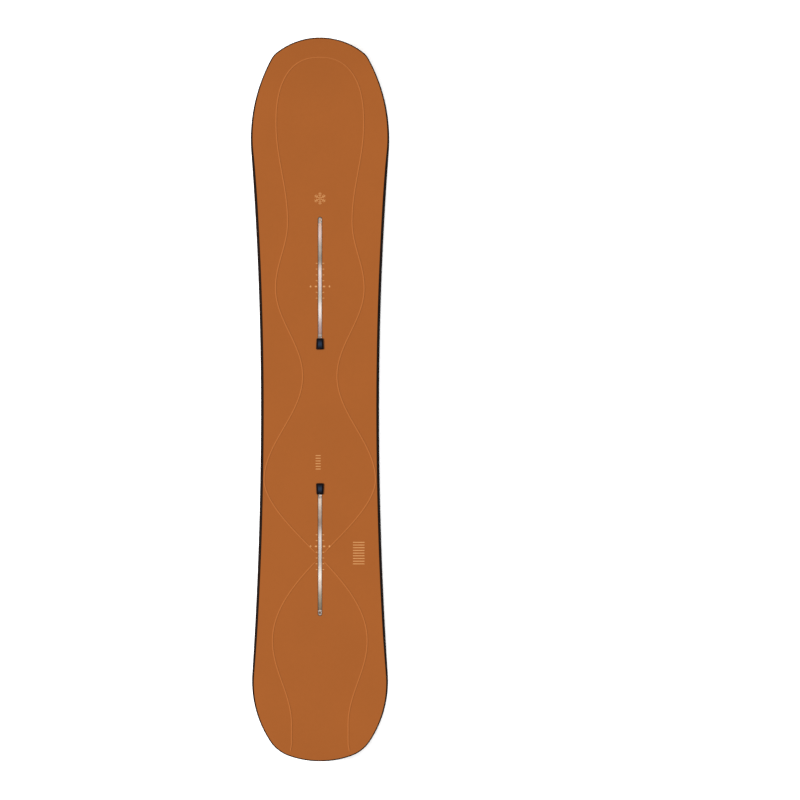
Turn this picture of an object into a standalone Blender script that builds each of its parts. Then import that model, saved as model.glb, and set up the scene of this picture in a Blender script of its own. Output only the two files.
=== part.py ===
# Snowboard of sandwich construction with two channels for the bindings, lying on its base.
# Metres. +Y runs from tail to nose, +X to the right, +Z up from the snow. The origin is midway
# between the tips, at the height of the two contact zones.

import math

import bmesh
import bpy
from mathutils import Vector

for leftover in list(bpy.data.objects):
    bpy.data.objects.remove(leftover, do_unlink=True)

# Plan shape, seen from above
LENGTH = 1.560
NOSE_WIDTH = 0.2986
TAIL_WIDTH = 0.2932
WAIST_WIDTH = 0.2547
WAIST_SETBACK = 0.020
NOSE_REACH = 0.220
NOSE_TIP_RADIUS = 0.151
NOSE_CORNER_RADIUS = 0.045
NOSE_SHOULDER_RADIUS = 0.363
TAIL_REACH = 0.173
TAIL_TIP_RADIUS = 0.200
TAIL_CORNER_RADIUS = 0.080
TAIL_SHOULDER_RADIUS = 0.2355

# Side profile: a flat arch underfoot, a ramp down to each contact zone and a kick at each end
CAMBER = 0.005
CONTACT_LENGTH = 0.024
NOSE_KICK_RADIUS = 0.430
TAIL_KICK_RADIUS = 0.400
THICKNESS = 0.0104
TIP_THICKNESS = 0.0056
TAPER_END_FROM_TIP = 0.035

# Layers, from the snow up
BOND_GAP = 0.0003
BASE_THICKNESS = 0.0012
EDGE_WIDTH = 0.0020
EDGE_FLANGE_THICKNESS = 0.0005
EDGE_FLANGE_WIDTH = 0.0040
LAMINATE_THICKNESS = 0.0006
TOPSHEET_THICKNESS = 0.0005
SIDEWALL_WIDTH = 0.0090
SIDEWALL_SLOPE = 0.625
CORE_STRIP_WIDTH = 0.0300
INNER_STRIPS_PER_SIDE = 2

# Channels: each starts at its plug and runs towards its end of the board
FRONT_CHANNEL_START = 0.1073
REAR_CHANNEL_START = 0.1806
CHANNEL_LENGTH = 0.2861
CHANNEL_TO_RAMP = 0.012
RAIL_WIDTH = 0.0166
RAIL_END_WALL = 0.0030
RAIL_FLOOR = 0.0010
RAIL_LIP = 0.0012
RAIL_NECK_WALL = 0.0010
RAIL_NECK_DEPTH = 0.0001
SLOT_WIDTH = 0.0074
CAVITY_WIDTH = 0.0122
ENTRY_LENGTH = 0.0156
ENTRY_START = 0.0040
ENTRY_SIDE_STEP = 0.0002
OPENING_CLEARANCE = 0.0002

# Plug over the entry of each channel
PLUG_LENGTH = 0.0244
PLUG_INNER_WIDTH = 0.0170
PLUG_OUTER_WIDTH = 0.0150
PLUG_THICKNESS = 0.0012
PLUG_CORNER_RADIUS = 0.0028
PLUG_EDGE_ROUNDING = 0.0004
PLUG_PAD_MARGIN = 0.0030
PLUG_PAD_CORNER_RADIUS = 0.0014
PLUG_PAD_HEIGHT = 0.0003
PLUG_PAD_ROUNDING = 0.0002
PLUG_STEM_HEIGHT = 0.0042
PLUG_STEM_CLEARANCE = 0.0005

# Sliding inserts that the binding screws grip
INSERT_LENGTH = 0.0120
INSERT_WIDTH = 0.0114
INSERT_FLANGE_HEIGHT = 0.0027
INSERT_CORNER_RADIUS = 0.0015
INSERT_BOSS_DIAMETER = 0.0070
INSERT_BOSS_HEIGHT = 0.0022
INSERT_BORE_DIAMETER = 0.0050
INSERT_END_CLEARANCE = 0.0010

# Spacing of the sections along the board, and facets of the round pieces
PLATEAU_STEP = 0.065
RAMP_STEP = 0.022
TIP_STEPS = 8
CORNER_STEPS = 4
NOSE_SHOULDER_STEPS = 12
TAIL_SHOULDER_STEPS = 9
SLOT_END_STEPS = 10
BORE_SIDES = 20
PLUG_CORNER_STEPS = 4
PLUG_EDGE_STEPS = 2
INSERT_CORNER_STEPS = 3
SHARP_ANGLE = math.radians(25)

# Heights of the layers over the underside, and depths below the topsheet's upper face
flange_low = BASE_THICKNESS + BOND_GAP
edge_height = flange_low + EDGE_FLANGE_THICKNESS
laminate_rim_low = edge_height + BOND_GAP
laminate_high = laminate_rim_low + LAMINATE_THICKNESS
core_low = laminate_high + BOND_GAP
upper_laminate_high = TOPSHEET_THICKNESS + BOND_GAP
upper_laminate_low = upper_laminate_high + LAMINATE_THICKNESS
core_high = upper_laminate_low + BOND_GAP

# Stations along Y
half_length = LENGTH / 2
nose_widest = half_length - NOSE_REACH
tail_widest = -(half_length - TAIL_REACH)
plateau_front = FRONT_CHANNEL_START + CHANNEL_LENGTH + CHANNEL_TO_RAMP
plateau_rear = -(REAR_CHANNEL_START + CHANNEL_LENGTH + CHANNEL_TO_RAMP)
nose_kick_start = nose_widest + CONTACT_LENGTH / 2
nose_contact_start = nose_widest - CONTACT_LENGTH / 2
tail_kick_start = tail_widest - CONTACT_LENGTH / 2
tail_contact_start = tail_widest + CONTACT_LENGTH / 2


def ease(share):
    # Smooth step from 0 to 1, level at both ends.
    return (1 - math.cos(math.pi * min(max(share, 0), 1))) / 2


def base_height(y):
    # Height of the underside along the board.
    if y > nose_kick_start:
        run = y - nose_kick_start
        return NOSE_KICK_RADIUS - math.sqrt(NOSE_KICK_RADIUS**2 - run**2)
    if y < tail_kick_start:
        run = tail_kick_start - y
        return TAIL_KICK_RADIUS - math.sqrt(TAIL_KICK_RADIUS**2 - run**2)
    if y > plateau_front:
        return CAMBER * ease((nose_contact_start - y) / (nose_contact_start - plateau_front))
    if y < plateau_rear:
        return CAMBER * ease((y - tail_contact_start) / (plateau_rear - tail_contact_start))
    return CAMBER


def thickness(y):
    # Full underfoot, thinning towards both tips.
    plateau = plateau_front if y > 0 else -plateau_rear
    taper = half_length - TAPER_END_FROM_TIP - plateau
    return THICKNESS - (THICKNESS - TIP_THICKNESS) * ease((abs(y) - plateau) / taper)


def above_base(level):
    return lambda y: base_height(y) + level


def below_top(depth):
    return lambda y: base_height(y) + thickness(y) - depth


def sloped_inset(depth):
    # How far the sloped side has come in at this depth below the topsheet's upper face.
    return lambda y: SIDEWALL_SLOPE * (thickness(y) - depth - core_low)


def spaced(start, end, step):
    # Even stations from start up to end, with both ends and no step longer than the one given.
    count = max(1, math.ceil(abs(end - start) / step - 1e-6))
    return [start + (end - start) * i / count for i in range(count + 1)]


def arc(centre, radius, start, end, steps):
    # Points of an arc with their outward directions, both ends included.
    points = []
    for i in range(steps + 1):
        angle = start + (end - start) * i / steps
        outward = Vector((math.cos(angle), math.sin(angle)))
        points.append((centre + outward * radius, outward))
    return points


def end_outline(reach, width, tip_radius, corner_radius, shoulder_radius, waist_distance, shoulder_steps):
    # One end of the board, right-hand half, from its tip to where the sidecut starts. Its Y
    # points at the tip and is counted from the widest point. Tip arc, corner and shoulder are
    # tangent to each other, and the shoulder is tangent to the sidecut, whose centre comes last.
    tip_centre = Vector((0, reach - tip_radius))
    shoulder_centre = Vector((width / 2 - shoulder_radius, 0))
    across = shoulder_centre - tip_centre
    near = tip_radius - corner_radius
    far = shoulder_radius - corner_radius
    along = (near**2 - far**2 + across.length_squared) / (2 * across.length)
    sideways = math.sqrt(near**2 - along**2)
    unit = across.normalized()
    square = Vector((-unit.y, unit.x)) * sideways
    middle = tip_centre + unit * along
    corner_centre = max(middle + square, middle - square, key=lambda centre: centre.y)
    flare = (width - WAIST_WIDTH) / 2
    sidecut_radius = (flare**2 + waist_distance**2) / (2 * flare) - shoulder_radius
    sidecut_centre = Vector((WAIST_WIDTH / 2 + sidecut_radius, -waist_distance))

    def heading(start, end):
        direction = end - start
        return math.atan2(direction.y, direction.x)

    tip_start = math.acos(BOND_GAP / 2 / tip_radius)
    tip_end = heading(tip_centre, corner_centre)
    corner_end = heading(shoulder_centre, corner_centre)
    shoulder_end = heading(shoulder_centre, sidecut_centre)
    points = arc(tip_centre, tip_radius, tip_start, tip_end, TIP_STEPS)
    points += arc(corner_centre, corner_radius, tip_end, corner_end, CORNER_STEPS)[1:]
    points += arc(shoulder_centre, shoulder_radius, corner_end, 0, shoulder_steps)[1:]
    points += arc(shoulder_centre, shoulder_radius, 0, shoulder_end, 2)[1:]
    return points, sidecut_centre, sidecut_radius


def sidecut(centre, radius, stations):
    # The hollow side of the board at the given stations.
    points = []
    for y in stations:
        angle = math.asin((y - centre.y) / radius)
        point = Vector((centre.x - radius * math.cos(angle), y))
        points.append((point, Vector((math.cos(angle), -math.sin(angle)))))
    return points


def board_outline():
    # Right-hand outline from the tail's tip to the nose's, each point with its outward direction.
    def from_middle(entry, widest, towards):
        point, outward = entry
        flip = Vector((1, towards))
        return point * flip + Vector((0, widest)), outward * flip

    waist = -WAIST_SETBACK
    nose, nose_cut, nose_radius = end_outline(
        NOSE_REACH, NOSE_WIDTH, NOSE_TIP_RADIUS, NOSE_CORNER_RADIUS, NOSE_SHOULDER_RADIUS,
        nose_widest - waist, NOSE_SHOULDER_STEPS)
    tail, tail_cut, tail_radius = end_outline(
        TAIL_REACH, TAIL_WIDTH, TAIL_TIP_RADIUS, TAIL_CORNER_RADIUS, TAIL_SHOULDER_RADIUS,
        waist - tail_widest, TAIL_SHOULDER_STEPS)
    nose = [from_middle(entry, nose_widest, 1) for entry in nose]
    tail = [from_middle(entry, tail_widest, -1) for entry in tail]
    rear_ramp = spaced(tail[-1][0].y, plateau_rear, RAMP_STEP)
    front_ramp = spaced(plateau_front, nose[-1][0].y, RAMP_STEP)
    rear = rear_ramp[1:] + spaced(plateau_rear, waist, PLATEAU_STEP)[1:]
    front = spaced(waist, plateau_front, PLATEAU_STEP)[1:] + front_ramp[1:-1]
    rear_points = sidecut(Vector((tail_cut.x, waist)), tail_radius, rear)
    front_points = sidecut(Vector((nose_cut.x, waist)), nose_radius, front)
    return tail + rear_points + front_points + nose[::-1]


outline = board_outline()


def outline_at(y):
    # Point and outward direction of the outline at one station.
    for (low, low_out), (high, high_out) in zip(outline, outline[1:]):
        if low.y <= y <= high.y:
            share = (y - low.y) / (high.y - low.y)
            return low.lerp(high, share), low_out.lerp(high_out, share).normalized()
    return outline[0] if y < 0 else outline[-1]


def outline_between(low, high):
    # The outline's stations from low to high, with an entry exactly at each end.
    first = [] if low <= -half_length else [outline_at(low)]
    last = [] if high >= half_length else [outline_at(high)]
    after = low + BOND_GAP if first else -LENGTH
    before = high - BOND_GAP if last else LENGTH
    return first + [entry for entry in outline if after < entry[0].y < before] + last


def new_material(name, colour, roughness, metallic=0.0):
    material = bpy.data.materials.new(name)
    material.use_nodes = True
    shader = material.node_tree.nodes["Principled BSDF"]
    shader.inputs["Base Color"].default_value = (*colour, 1)
    shader.inputs["Roughness"].default_value = roughness
    shader.inputs["Metallic"].default_value = metallic
    return material


topsheet_orange = new_material("topsheet_orange", (0.42, 0.125, 0.032), 0.45)
sidewall_black = new_material("sidewall_black", (0.010, 0.008, 0.007), 0.5)
base_dark = new_material("base_dark", (0.030, 0.019, 0.012), 0.35)
edge_steel = new_material("edge_steel", (0.55, 0.55, 0.56), 0.25, 1.0)
glass_laminate = new_material("glass_laminate", (0.45, 0.44, 0.30), 0.4)
core_wood = new_material("core_wood", (0.58, 0.40, 0.22), 0.6)
spacer_plastic = new_material("spacer_plastic", (0.012, 0.010, 0.009), 0.5)
rail_metal = new_material("rail_metal", (0.75, 0.70, 0.68), 0.35, 0.9)
plug_rubber = new_material("plug_rubber", (0.012, 0.013, 0.016), 0.45)
insert_steel = new_material("insert_steel", (0.42, 0.42, 0.43), 0.35, 1.0)


def finish(name, bm, material):
    # Makes an object of a closed shape, shaded smooth except at its real corners.
    bmesh.ops.recalc_face_normals(bm, faces=bm.faces)
    mesh = bpy.data.meshes.new(name)
    bm.to_mesh(mesh)
    bm.free()
    mesh.materials.append(material)
    mesh.shade_smooth()
    mesh.set_sharp_from_angle(angle=SHARP_ANGLE)
    piece = bpy.data.objects.new(name, mesh)
    bpy.context.collection.objects.link(piece)
    return piece


def loft(name, sections, material, stepped_rows=0):
    # Carries one face through all the sections, an extrusion at a time. Where the sections step
    # up from side to side, both end faces are split into one row for each step.
    bm = bmesh.new()
    first = [bm.verts.new(point) for point in sections[0]]
    face = bm.faces.new(first)
    for section in sections[1:]:
        face = bmesh.ops.extrude_discrete_faces(bm, faces=[face])["faces"][0]
        for vert, point in zip(face.verts, section):
            vert.co = point
    first = [vert for vert in first if vert.is_valid]
    open_edges = [edge for edge in bm.edges if edge.is_boundary]
    bmesh.ops.holes_fill(bm, edges=open_edges)
    for ends in (first, list(face.verts)):
        for row in range(1, stepped_rows):
            bmesh.ops.connect_verts(bm, verts=[ends[row], ends[-1 - row]])
    return finish(name, bm, material)


def section_point(entry, inset, height):
    point, outward = entry
    depth = inset(point.y) if callable(inset) else inset
    spot = point - outward * depth
    return Vector((spot.x, spot.y, height(spot.y)))


def mirrored(point):
    return Vector((-point.x, point.y, point.z))


def sheet(name, side_profile, material, low=-half_length, high=half_length):
    # A layer as wide as the board. Its profile climbs the right-hand side.
    sections = []
    for entry in outline_between(low, high):
        right = [section_point(entry, inset, height) for inset, height in side_profile]
        sections.append(right + [mirrored(point) for point in reversed(right)])
    return loft(name, sections, material, stepped_rows=len(side_profile) - 1)


def rim(name, profile, side, material, low=-half_length, high=half_length):
    # A strip that follows one side of the board, with a closed profile.
    sections = []
    for entry in outline_between(low, high):
        section = [section_point(entry, inset, height) for inset, height in profile]
        if side < 0:
            section = [mirrored(point) for point in section]
        sections.append(section)
    return loft(name, sections, material)


def upright_block(plan, low, high):
    # An outline drawn in plan and carried up from low to high.
    bm = bmesh.new()
    face = bm.faces.new([bm.verts.new((x, y, low)) for x, y in plan])
    raised = bmesh.ops.extrude_face_region(bm, geom=[face])["geom"]
    verts = [item for item in raised if isinstance(item, bmesh.types.BMVert)]
    bmesh.ops.translate(bm, verts=verts, vec=(0, 0, high - low))
    return bm


def prism(name, plan, low, high, material):
    return finish(name, upright_block(plan, low, high), material)


def combine(target, tool, operation):
    # Joins a tool to a piece, or cuts it away. The tool stays as a hidden guide.
    tool.hide_render = True
    tool.display_type = "WIRE"
    modifier = target.modifiers.new(tool.name, "BOOLEAN")
    modifier.operation = operation
    modifier.solver = "EXACT"
    modifier.object = tool


# The sheets and rims that run the whole length


def build_base():
    inset = EDGE_WIDTH + BOND_GAP
    profile = [(inset, above_base(0)), (inset, above_base(BASE_THICKNESS))]
    return sheet("base", profile, base_dark)


def build_edge(name, side):
    # Steel edge: a square bead at the rim and a thin flange that anchors it over the base.
    flange_end = EDGE_WIDTH + EDGE_FLANGE_WIDTH
    profile = [
        (0, above_base(0)),
        (EDGE_WIDTH, above_base(0)),
        (EDGE_WIDTH, above_base(flange_low)),
        (flange_end, above_base(flange_low)),
        (flange_end, above_base(edge_height)),
        (0, above_base(edge_height)),
    ]
    return rim(name, profile, side, edge_steel)


def build_lower_laminate():
    # Glass laid over the base and stepped up over the flanges of the steel edges.
    step = EDGE_WIDTH + EDGE_FLANGE_WIDTH + BOND_GAP
    profile = [
        (step, above_base(flange_low)),
        (step, above_base(laminate_rim_low)),
        (0, above_base(laminate_rim_low)),
        (0, above_base(laminate_high)),
    ]
    return sheet("lower_laminate", profile, glass_laminate)


def build_sidewall(name, side):
    profile = [
        (0, above_base(core_low)),
        (SIDEWALL_WIDTH, above_base(core_low)),
        (SIDEWALL_WIDTH, below_top(core_high)),
        (sloped_inset(core_high), below_top(core_high)),
    ]
    low = tail_widest + BOND_GAP / 2
    high = nose_widest - BOND_GAP / 2
    return rim(name, profile, side, sidewall_black, low, high)


def build_tip_spacer(name, low, high):
    # Plastic filler that carries the sidewall's slope round the tip, past the end of the core.
    profile = [(0, above_base(core_low)), (sloped_inset(core_high), below_top(core_high))]
    return sheet(name, profile, spacer_plastic, low, high)


def build_upper_laminate():
    profile = [
        (sloped_inset(upper_laminate_low), below_top(upper_laminate_low)),
        (sloped_inset(upper_laminate_high), below_top(upper_laminate_high)),
    ]
    return sheet("upper_laminate", profile, glass_laminate)


def build_topsheet():
    profile = [
        (sloped_inset(TOPSHEET_THICKNESS), below_top(TOPSHEET_THICKNESS)),
        (sloped_inset(0), below_top(0)),
    ]
    return sheet("topsheet", profile, topsheet_orange)


# Wood core: glued strips, with the rails of the channels set into the middle one


def strip_stations(low, high):
    # Stations of a strip: every one of the outline's where the board bends, none underfoot.
    inside = [entry[0].y for entry in outline if low + BOND_GAP < entry[0].y < high - BOND_GAP]
    flat_low, flat_high = plateau_rear + BOND_GAP, plateau_front - BOND_GAP
    bending = [y for y in inside if not flat_low < y < flat_high]
    return [low] + bending + [high]


def core_strip(name, left, right, low, high):
    sections = []
    for y in strip_stations(low, high):
        floor = above_base(core_low)(y)
        roof = below_top(core_high)(y)
        sections.append([Vector((x, y, z)) for x, z in
                         ((left, floor), (right, floor), (right, roof), (left, roof))])
    return loft(name, sections, core_wood)


def build_core():
    low = tail_widest + BOND_GAP / 2
    high = nose_widest - BOND_GAP / 2
    centre = RAIL_WIDTH / 2
    rail_near = rail_span()[0] - BOND_GAP
    rail_far = rail_span()[1] + BOND_GAP
    core_strip("core_center_nose", -centre, centre, FRONT_CHANNEL_START + rail_far, high)
    core_strip("core_center_waist", -centre, centre,
               -(REAR_CHANNEL_START + rail_near), FRONT_CHANNEL_START + rail_near)
    core_strip("core_center_tail", -centre, centre, low, -(REAR_CHANNEL_START + rail_far))
    for side, word in ((1, "right"), (-1, "left")):
        start = centre + BOND_GAP
        for number in range(INNER_STRIPS_PER_SIDE):
            end = start + CORE_STRIP_WIDTH
            edges = sorted((side * start, side * end))
            core_strip(f"core_strip_{word}_{number + 1}", edges[0], edges[1], low, high)
            start = end + BOND_GAP
        profile_inset = SIDEWALL_WIDTH + BOND_GAP
        sections = []
        for entry in outline_between(low, high):
            outer_low = section_point(entry, profile_inset, above_base(core_low))
            outer_high = section_point(entry, profile_inset, below_top(core_high))
            inner_low = Vector((start, outer_low.y, outer_low.z))
            inner_high = Vector((start, outer_high.y, outer_high.z))
            section = [inner_low, outer_low, outer_high, inner_high]
            sections.append([mirrored(p) for p in section] if side < 0 else section)
        loft(f"core_strip_{word}_outer", sections, core_wood)


# Channels. Distances run along a channel, from the inner end of its plug.


def rail_span():
    near = ENTRY_START - RAIL_NECK_WALL - RAIL_END_WALL
    far = CHANNEL_LENGTH + RAIL_END_WALL
    return near, far


def keyhole(grow):
    # Plan of the opening: a slot with a round far end and a wider entry, grown by a wall.
    entry_half = CAVITY_WIDTH / 2 - ENTRY_SIDE_STEP + grow
    entry_near = ENTRY_START - grow
    entry_far = ENTRY_START + ENTRY_LENGTH + grow
    slot_half = SLOT_WIDTH / 2 + grow
    slot_inner_far = CHANNEL_LENGTH - OPENING_CLEARANCE - RAIL_NECK_WALL
    round_centre = Vector((0, slot_inner_far - SLOT_WIDTH / 2))
    far_end = [point for point, outward in arc(round_centre, slot_half, 0, math.pi, SLOT_END_STEPS)]
    plan = [(slot_half, entry_far)] + [(point.x, point.y) for point in far_end]
    plan += [(-slot_half, entry_far), (-entry_half, entry_far), (-entry_half, entry_near)]
    plan += [(entry_half, entry_near), (entry_half, entry_far)]
    return plan


def on_board(plan, start, towards):
    # Puts a plan drawn along a channel in its place on the board.
    return [(x, towards * (start + along)) for x, along in plan]


def rectangle(half_width, near, far):
    return [(half_width, near), (half_width, far), (-half_width, far), (-half_width, near)]


def build_rail(name, start, towards):
    # C-shaped rail: floor, side walls, two lips under the topsheet and a neck up to its face.
    underside = CAMBER + core_low
    shoulder = CAMBER + THICKNESS - core_high
    top = CAMBER + THICKNESS - RAIL_NECK_DEPTH
    near, far = rail_span()
    lip_low = shoulder - RAIL_LIP
    overlap = RAIL_LIP / 2

    def solid(label, plan, low, high):
        return prism(f"{name}_{label}", on_board(plan, start, towards), low, high, rail_metal)

    body_plan = on_board(rectangle(RAIL_WIDTH / 2, near, far), start, towards)
    rail = prism(name, body_plan, underside, shoulder, rail_metal)
    combine(rail, solid("neck", keyhole(RAIL_NECK_WALL), shoulder - overlap, top), "UNION")
    cavity = rectangle(CAVITY_WIDTH / 2, ENTRY_START, CHANNEL_LENGTH)
    combine(rail, solid("cavity", cavity, underside + RAIL_FLOOR, lip_low), "DIFFERENCE")
    combine(rail, solid("slot", keyhole(0), lip_low - overlap, top + overlap), "DIFFERENCE")
    return rail


def build_opening(name, start, towards):
    # Cuts the channel's opening through the topsheet and the laminate under it.
    plan = on_board(keyhole(RAIL_NECK_WALL + OPENING_CLEARANCE), start, towards)
    low = CAMBER + THICKNESS - core_high
    return prism(name, plan, low, CAMBER + THICKNESS + RAIL_LIP, topsheet_orange)


def uprights(bm):
    # The edges of a block that stand along Z.
    return [edge for edge in bm.edges
            if (edge.verts[1].co - edge.verts[0].co).xy.length < BOND_GAP / 2]


def place(pieces, y, z):
    for piece in pieces:
        piece.location = (0, y, z)


def tapered_plate(name, near_width, far_width, length, corner, rounding, low, high, towards):
    # A plate that narrows along its channel, with round corners and a rounded upper rim.
    middle = length / 2
    plan = [(near_width / 2, -middle), (far_width / 2, middle),
            (-far_width / 2, middle), (-near_width / 2, -middle)]
    bm = upright_block(on_board(plan, 0, towards), low, high)
    bmesh.ops.bevel(bm, geom=uprights(bm), offset=corner, segments=PLUG_CORNER_STEPS,
                    affect="EDGES", profile=0.5)
    upper_face = max(bm.faces, key=lambda face: face.calc_center_median().z)
    bmesh.ops.bevel(bm, geom=list(upper_face.edges), offset=rounding, segments=PLUG_EDGE_STEPS,
                    affect="EDGES", profile=0.5)
    return finish(name, bm, plug_rubber)


def build_plug(name, start, towards):
    # Cap over the entry: a plate with a raised pad, on a stem. Its own origin is in the middle
    # of the plate's underside.
    middle = PLUG_LENGTH / 2
    overlap = PLUG_THICKNESS / 2
    plug = tapered_plate(name, PLUG_INNER_WIDTH, PLUG_OUTER_WIDTH, PLUG_LENGTH, PLUG_CORNER_RADIUS,
                         PLUG_EDGE_ROUNDING, 0, PLUG_THICKNESS, towards)
    drawn_in = 2 * PLUG_PAD_MARGIN
    pad = tapered_plate(f"{name}_pad", PLUG_INNER_WIDTH - drawn_in, PLUG_OUTER_WIDTH - drawn_in,
                        PLUG_LENGTH - drawn_in, PLUG_PAD_CORNER_RADIUS, PLUG_PAD_ROUNDING,
                        overlap, PLUG_THICKNESS + PLUG_PAD_HEIGHT, towards)
    stem_half = CAVITY_WIDTH / 2 - ENTRY_SIDE_STEP - PLUG_STEM_CLEARANCE
    near = ENTRY_START + PLUG_STEM_CLEARANCE - middle
    far = ENTRY_START + ENTRY_LENGTH - PLUG_STEM_CLEARANCE - middle
    stem_plan = on_board(rectangle(stem_half, near, far), 0, towards)
    stem = prism(f"{name}_stem", stem_plan, -PLUG_STEM_HEIGHT, overlap, plug_rubber)
    combine(plug, pad, "UNION")
    combine(plug, stem, "UNION")
    place((plug, pad, stem), towards * (start + middle), CAMBER + THICKNESS + BOND_GAP)
    return plug


def build_insert(name, start, towards, along):
    # Sliding nut: a flange held under the rail's lips, a boss in the slot and a bore through
    # both. Its own origin is on the bore's axis, in the flange's underside.
    boss_high = INSERT_FLANGE_HEIGHT + INSERT_BOSS_HEIGHT
    bm = bmesh.new()
    bmesh.ops.create_cube(bm, size=1)
    bmesh.ops.scale(bm, verts=bm.verts, vec=(INSERT_WIDTH, INSERT_LENGTH, INSERT_FLANGE_HEIGHT))
    bmesh.ops.translate(bm, verts=bm.verts, vec=(0, 0, INSERT_FLANGE_HEIGHT / 2))
    bmesh.ops.bevel(bm, geom=uprights(bm), offset=INSERT_CORNER_RADIUS, segments=INSERT_CORNER_STEPS,
                    affect="EDGES", profile=0.5)
    insert = finish(name, bm, insert_steel)

    def round_tool(label, diameter, low, high):
        tool = bmesh.new()
        bmesh.ops.create_cone(tool, cap_ends=True, segments=BORE_SIDES, radius1=diameter / 2,
                              radius2=diameter / 2, depth=high - low)
        bmesh.ops.translate(tool, verts=tool.verts, vec=(0, 0, (low + high) / 2))
        return finish(f"{name}_{label}", tool, insert_steel)

    overlap = INSERT_FLANGE_HEIGHT / 2
    boss = round_tool("boss", INSERT_BOSS_DIAMETER, overlap, boss_high)
    bore = round_tool("bore", INSERT_BORE_DIAMETER, -overlap, boss_high + overlap)
    combine(insert, boss, "UNION")
    combine(insert, bore, "DIFFERENCE")
    place((insert, boss, bore), towards * (start + along), CAMBER + core_low + RAIL_FLOOR + BOND_GAP)
    return insert


def build_channel(word, start, towards, layers):
    build_rail(f"channel_rail_{word}", start, towards)
    opening = build_opening(f"opening_{word}", start, towards)
    for layer in layers:
        combine(layer, opening, "DIFFERENCE")
    build_plug(f"channel_plug_{word}", start, towards)
    inner = ENTRY_START + ENTRY_LENGTH + INSERT_END_CLEARANCE + INSERT_LENGTH / 2
    outer = CHANNEL_LENGTH - INSERT_END_CLEARANCE - INSERT_LENGTH / 2
    build_insert(f"insert_{word}_inner", start, towards, inner)
    build_insert(f"insert_{word}_outer", start, towards, outer)


build_base()
build_edge("steel_edge_right", 1)
build_edge("steel_edge_left", -1)
build_lower_laminate()
build_sidewall("sidewall_right", 1)
build_sidewall("sidewall_left", -1)
build_tip_spacer("tip_spacer_nose", nose_widest + BOND_GAP / 2, half_length)
build_tip_spacer("tip_spacer_tail", -half_length, tail_widest - BOND_GAP / 2)
build_core()
upper_laminate = build_upper_laminate()
topsheet = build_topsheet()
build_channel("front", FRONT_CHANNEL_START, 1, (upper_laminate, topsheet))
build_channel("rear", REAR_CHANNEL_START, -1, (upper_laminate, topsheet))
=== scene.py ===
# Snowboard lying on its base on a pale floor, seen straight from above.
# Metres throughout: +Y runs from tail to nose, +X to the right, +Z up through the topsheet.

import math
from functools import partial

import bmesh
import bpy
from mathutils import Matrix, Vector


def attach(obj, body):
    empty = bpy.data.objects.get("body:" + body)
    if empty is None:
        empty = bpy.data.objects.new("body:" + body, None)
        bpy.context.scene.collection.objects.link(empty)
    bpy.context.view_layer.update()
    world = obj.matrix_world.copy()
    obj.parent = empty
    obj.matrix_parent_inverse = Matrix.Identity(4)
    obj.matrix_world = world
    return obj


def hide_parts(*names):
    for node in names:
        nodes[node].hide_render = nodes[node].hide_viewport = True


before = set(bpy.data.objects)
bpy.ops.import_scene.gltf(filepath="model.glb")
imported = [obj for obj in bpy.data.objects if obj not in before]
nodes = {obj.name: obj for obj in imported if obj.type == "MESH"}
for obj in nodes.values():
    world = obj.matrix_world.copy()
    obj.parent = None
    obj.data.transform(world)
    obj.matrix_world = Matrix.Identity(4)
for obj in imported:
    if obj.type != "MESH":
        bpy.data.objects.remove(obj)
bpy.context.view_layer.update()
print("frame loaded:", len(nodes), "nodes")


# Camera and light

cameraSetup = {"centre": (0.1724, -0.0013), "height": 3.0, "field": 1.7238, "reach": 20}
lightSetup = {"sky": 1.12, "keyStrength": 4.5, "keySoftness": 12.0, "keyFrom": (-1.45, 0.03, 0.87)}


def addToScene(name, data):
    item = bpy.data.objects.new(name, data)
    bpy.context.scene.collection.objects.link(item)
    return item


cameraData = bpy.data.cameras.new("overheadCamera")
cameraData.type = "ORTHO"
cameraData.ortho_scale = cameraSetup["field"]
cameraData.clip_end = cameraSetup["reach"]
camera = addToScene("overheadCamera", cameraData)
camera.location = (*cameraSetup["centre"], cameraSetup["height"])
bpy.context.scene.camera = camera
bpy.context.scene.view_settings.view_transform = "Standard"

world = bpy.data.worlds.new("studio")
world.use_nodes = True
world.node_tree.nodes["Background"].inputs["Color"].default_value = (1, 1, 1, 1)
world.node_tree.nodes["Background"].inputs["Strength"].default_value = lightSetup["sky"]
bpy.context.scene.world = world

keyData = bpy.data.lights.new("keyLight", "SUN")
keyData.energy = lightSetup["keyStrength"]
keyData.angle = math.radians(lightSetup["keySoftness"])
keyLight = addToScene("keyLight", keyData)
keyLight.location = Vector(lightSetup["keyFrom"]) * 2
keyLight.rotation_euler = Vector(lightSetup["keyFrom"]).to_track_quat("Z", "Y").to_euler()
print("camera and light set")


# Small helpers for node trees. A value that is a socket is linked, any other is set. A new node
# goes into the tree of the sockets that feed it.

def isSocket(value):
    return isinstance(value, bpy.types.NodeSocket)


def addNode(kind, sockets, tree=None, **settings):
    tree = tree or next(value.id_data for value in sockets.values() if isSocket(value))
    node = tree.nodes.new("ShaderNode" + kind)
    for key, value in settings.items():
        setattr(node, key, value)
    for key, value in sockets.items():
        if isSocket(value):
            tree.links.new(value, node.inputs[key])
        else:
            node.inputs[key].default_value = value
    return node


def calc(operation, *values):
    return addNode("Math", dict(enumerate(values)), operation=operation).outputs[0]


def vectorCalc(operation, *values):
    node = addNode("VectorMath", dict(enumerate(values)), operation=operation)
    return node.outputs["Value" if operation == "LENGTH" else "Vector"]


times, plus, minus = partial(calc, "MULTIPLY"), partial(calc, "ADD"), partial(calc, "SUBTRACT")
larger, magnitude = partial(calc, "MAXIMUM"), partial(calc, "ABSOLUTE")
scaled, moved = partial(vectorCalc, "MULTIPLY"), partial(vectorCalc, "ADD")


def mixed(first, second, share):
    # A share of the first and the rest of the second.
    return plus(times(first, share), times(second, 1 - share))


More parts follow.
